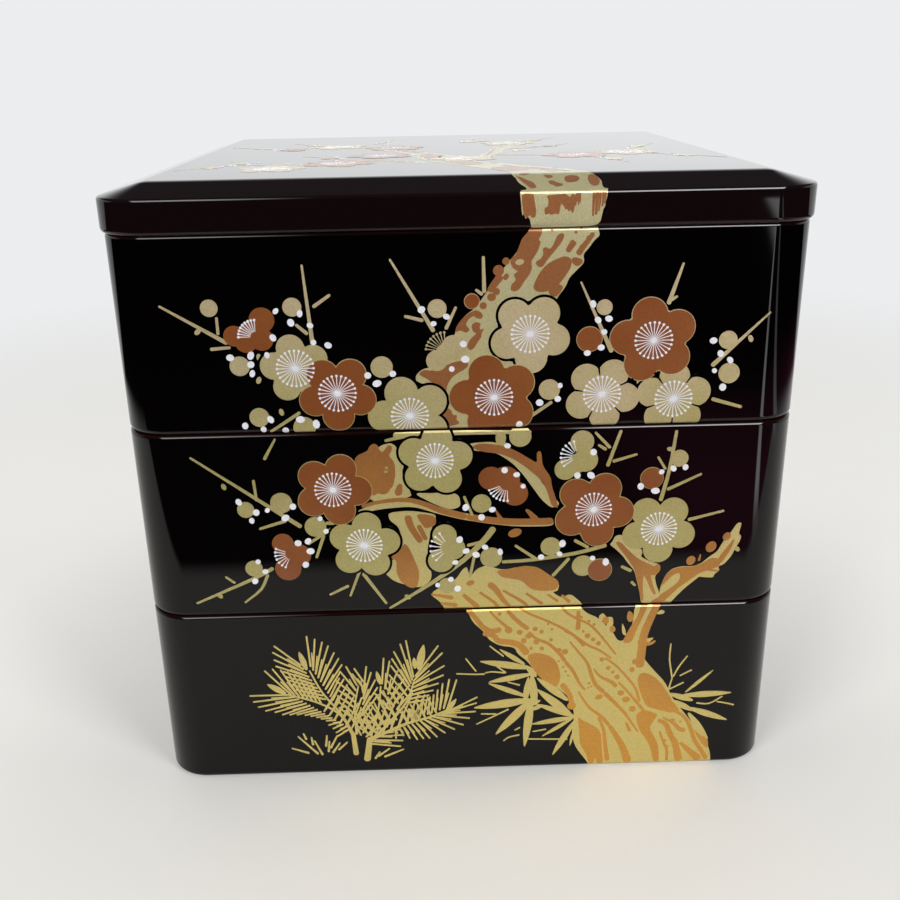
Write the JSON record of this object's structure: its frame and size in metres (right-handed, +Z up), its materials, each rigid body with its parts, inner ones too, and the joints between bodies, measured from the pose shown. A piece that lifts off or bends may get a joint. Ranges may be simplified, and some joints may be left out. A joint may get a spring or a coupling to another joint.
{
  "type": "stacking lacquer box",
  "caption": "Square stacking food box: tiers seat on one another over inner lips, under a bevelled lift-off lid, with gold-style plum, pine and bamboo decoration on glossy dark lacquer.",
  "frame": {"origin": "middle of the footprint, on the table surface that the bottom tier's foot rests on", "axes": "+Z up; -Y is the decorated front; +X to the right seen from the front"},
  "size_m": [0.1974, 0.1974, 0.1874],
  "materials": {
    "lacquer_dark": "gloss lacquer over wood",
    "lacquer_vermilion": "gloss vermilion lacquer over wood",
    "timber": "bare wood, hidden"
  },
  "bodies": {
    "bottom_tier": {"bottom_front_board": "lacquer_dark", "bottom_right_board": "lacquer_dark", "bottom_back_board": "lacquer_dark", "bottom_left_board": "lacquer_dark", "bottom_floor": "lacquer_vermilion", "bottom_mitre_keys": "timber", "bottom_corner_fillets": "lacquer_vermilion", "bottom_front_lining": "lacquer_vermilion", "bottom_right_lining": "lacquer_vermilion", "bottom_back_lining": "lacquer_vermilion", "bottom_left_lining": "lacquer_vermilion"},
    "middle_tier": {"middle_front_board": "lacquer_dark", "middle_right_board": "lacquer_dark", "middle_back_board": "lacquer_dark", "middle_left_board": "lacquer_dark", "middle_floor": "lacquer_vermilion", "middle_mitre_keys": "timber", "middle_corner_fillets": "lacquer_vermilion", "middle_front_lining": "lacquer_vermilion", "middle_right_lining": "lacquer_vermilion", "middle_back_lining": "lacquer_vermilion", "middle_left_lining": "lacquer_vermilion"},
    "top_tier": {"top_front_board": "lacquer_dark", "top_right_board": "lacquer_dark", "top_back_board": "lacquer_dark", "top_left_board": "lacquer_dark", "top_floor": "lacquer_vermilion", "top_mitre_keys": "timber", "top_corner_fillets": "lacquer_vermilion", "top_front_lining": "lacquer_vermilion", "top_right_lining": "lacquer_vermilion", "top_back_lining": "lacquer_vermilion", "top_left_lining": "lacquer_vermilion"},
    "lid": {"lid_front_rail": "lacquer_dark", "lid_right_rail": "lacquer_dark", "lid_back_rail": "lacquer_dark", "lid_left_rail": "lacquer_dark", "lid_mitre_keys": "timber", "lid_panel": "lacquer_dark"}
  },
  "joints": [
    {"name": "middle_tier_lift", "type": "slide", "parent": "bottom_tier", "child": "middle_tier", "axis": [0, 0, 1], "range_m": [0, 0.1]},
    {"name": "top_tier_lift", "type": "slide", "parent": "middle_tier", "child": "top_tier", "axis": [0, 0, 1], "range_m": [0, 0.1]},
    {"name": "lid_lift", "type": "slide", "parent": "top_tier", "child": "lid", "axis": [0, 0, 1], "range_m": [0, 0.1]}
  ]
}
